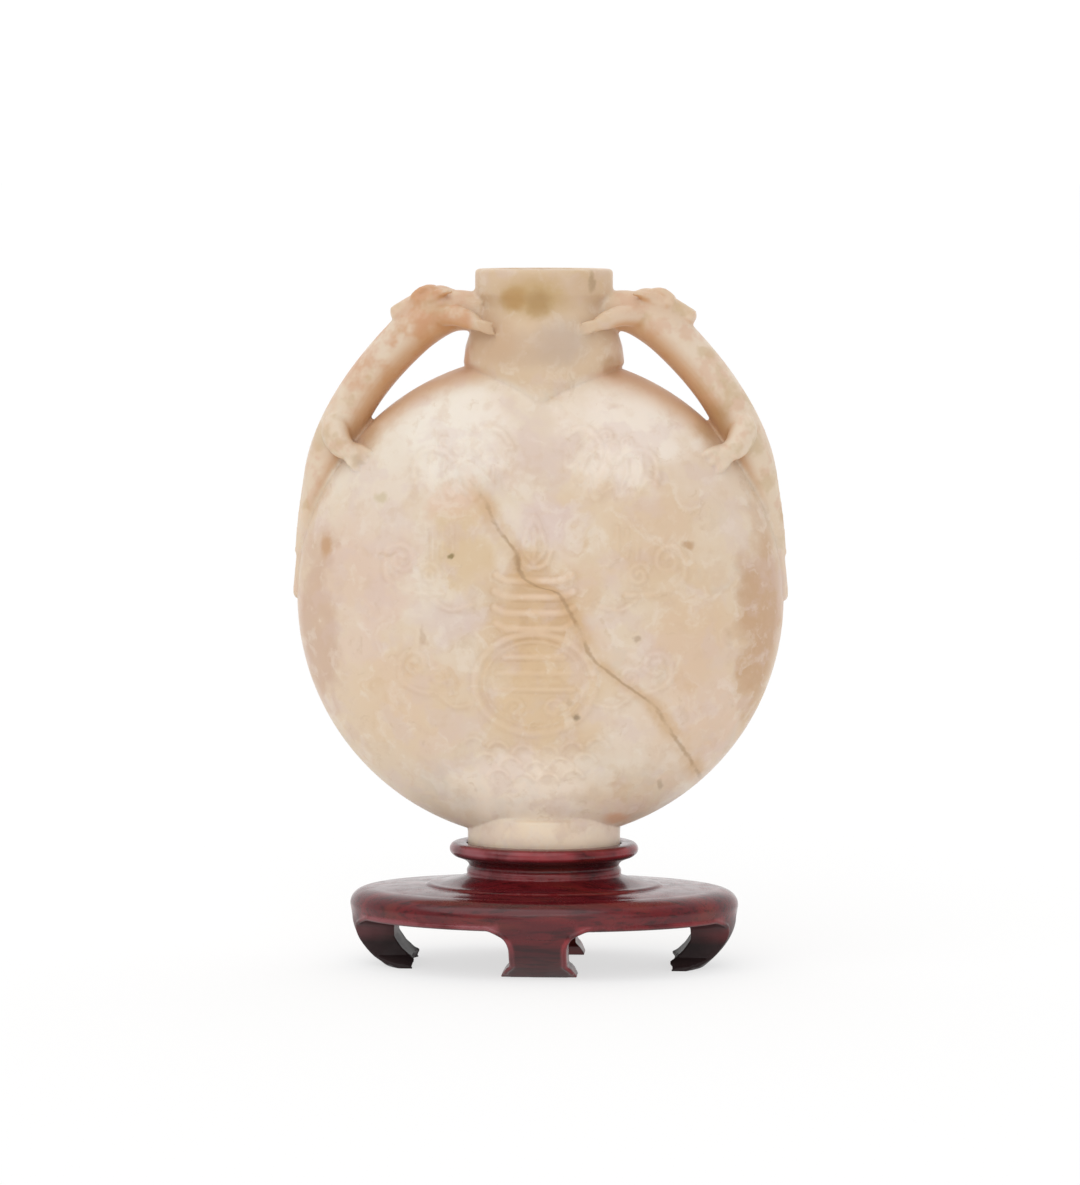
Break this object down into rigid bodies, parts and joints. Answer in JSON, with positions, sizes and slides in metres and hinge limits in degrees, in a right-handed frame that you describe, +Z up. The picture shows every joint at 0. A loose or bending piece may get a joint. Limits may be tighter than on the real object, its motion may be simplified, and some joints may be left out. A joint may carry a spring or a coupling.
{
  "type": "marble moon flask on a hardwood stand",
  "caption": "Flattened disc-shaped flask with a short oval neck, climbing dragon handles and low relief on both faces, standing in an oval footed wooden stand.",
  "frame": {"origin": "on the ground under the middle of the disc, centre of the bounding box's underside", "axes": "+Z up through the mouth, +X to the right along the disc's width, the carved front faces -Y"},
  "size_m": [0.1616, 0.077, 0.2282],
  "materials": {
    "marble": "softly polished cream marble with ochre veins and one diagonal crack",
    "stained_rosewood": "dark red stained hardwood, waxed and polished"
  },
  "bodies": {
    "root": {"flask": "marble", "stand": "stained_rosewood"}
  },
  "joints": []
}
